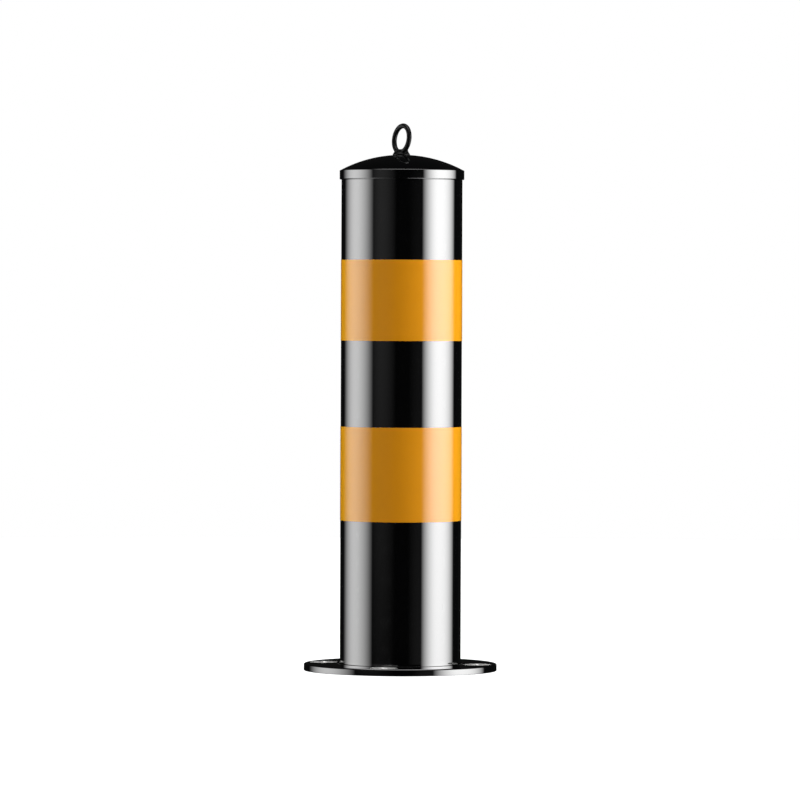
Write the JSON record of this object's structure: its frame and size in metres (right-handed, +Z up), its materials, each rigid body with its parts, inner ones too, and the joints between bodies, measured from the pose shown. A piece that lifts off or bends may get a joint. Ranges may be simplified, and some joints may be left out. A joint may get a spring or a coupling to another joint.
{
  "type": "retractable bollard",
  "caption": "Telescopic street bollard: a banded steel post with a domed, ringed cap slides down into an in-ground casing, lifted by a gas spring and locked by a key.",
  "frame": {"origin": "the post's axis at ground level, at the underside of the ground flange", "axes": "+Z up along the post; -Y is the side seen from the front; the key is on the +Y side of the cap"},
  "size_m": [0.26, 0.26, 1.5365],
  "materials": {
    "gloss_black": "mirror-gloss black",
    "black_cap": "gloss black",
    "satin_black": "satin black",
    "yellow_film": "clear-coated reflective film",
    "stainless": "satin",
    "galvanised": "hot-dip galvanised",
    "cast_aluminium": "machined casting",
    "rubber": "matt",
    "nylon": "natural, turned",
    "brass": "turned",
    "gas_spring_black": "semi-gloss black"
  },
  "bodies": {
    "casing": {"casing_tube": "galvanised", "casing_collar": "galvanised", "cover_flange": "gloss_black", "cover_screw_1": "stainless", "cover_screw_2": "stainless", "cover_screw_3": "stainless", "cover_screw_4": "stainless", "wiper_seal": "rubber", "guide_bush": "nylon", "guide_rail_left": "galvanised", "guide_rail_right": "galvanised", "keeper_raised_front": "galvanised", "keeper_raised_back": "galvanised", "keeper_lowered_front": "galvanised", "keeper_lowered_back": "galvanised", "base_plate": "galvanised", "drain_stub": "galvanised", "buffer_ring": "rubber", "rod_foot": "galvanised", "gas_rod": "stainless", "gas_piston": "galvanised", "anchor_fin_1": "galvanised", "anchor_fin_2": "galvanised", "anchor_fin_3": "galvanised", "anchor_fin_4": "galvanised"},
    "post": {"post_tube": "gloss_black", "post_cap": "black_cap", "band_upper": "yellow_film", "band_lower": "yellow_film", "eye_bolt": "satin_black", "eye_washer": "galvanised", "eye_nut": "galvanised", "stop_ring": "galvanised", "glide_ring": "nylon", "glide_retainer": "galvanised", "gas_cylinder": "gas_spring_black", "gas_gland": "brass", "spring_bracket": "galvanised", "spring_nut": "galvanised", "rod_bush": "nylon", "lock_housing": "stainless", "lock_housing_nut": "brass", "lock_case": "cast_aluminium", "lock_cover": "galvanised", "lock_cover_screw_1": "stainless", "lock_cover_screw_2": "stainless", "lock_cover_screw_3": "stainless", "lock_cover_screw_4": "stainless", "lock_case_screw_1": "stainless", "lock_case_screw_2": "stainless", "lock_case_screw_3": "stainless", "lock_case_screw_4": "stainless"},
    "lock_spindle": {"lock_plug": "stainless", "lock_rod": "galvanised", "lock_pinion": "galvanised"},
    "front_bolt": {"bolt_front": "stainless"},
    "back_bolt": {"bolt_back": "stainless"}
  },
  "joints": [
    {"name": "post_lift", "type": "slide", "parent": "casing", "child": "post", "axis": [0, 0, 1], "range_m": [-0.556, 0], "stiffness_N_per_m": 125, "springref_m": 1.42},
    {"name": "lock_turn", "type": "hinge", "parent": "post", "child": "lock_spindle", "pos_m": [0, 0.04, 0], "axis": [0, 0, 1], "range_deg": [0, 90]},
    {"name": "front_bolt_slide", "type": "slide", "parent": "post", "child": "front_bolt", "axis": [0, -1, 0], "range_m": [0, 0.01572]},
    {"name": "back_bolt_slide", "type": "slide", "parent": "post", "child": "back_bolt", "axis": [0, 1, 0], "range_m": [0, 0.01572]}
  ],
  "couplings": [
    {"joint": "front_bolt_slide", "follows": "lock_turn", "m_per_rad": 0.01},
    {"joint": "back_bolt_slide", "follows": "lock_turn", "m_per_rad": 0.01}
  ]
}
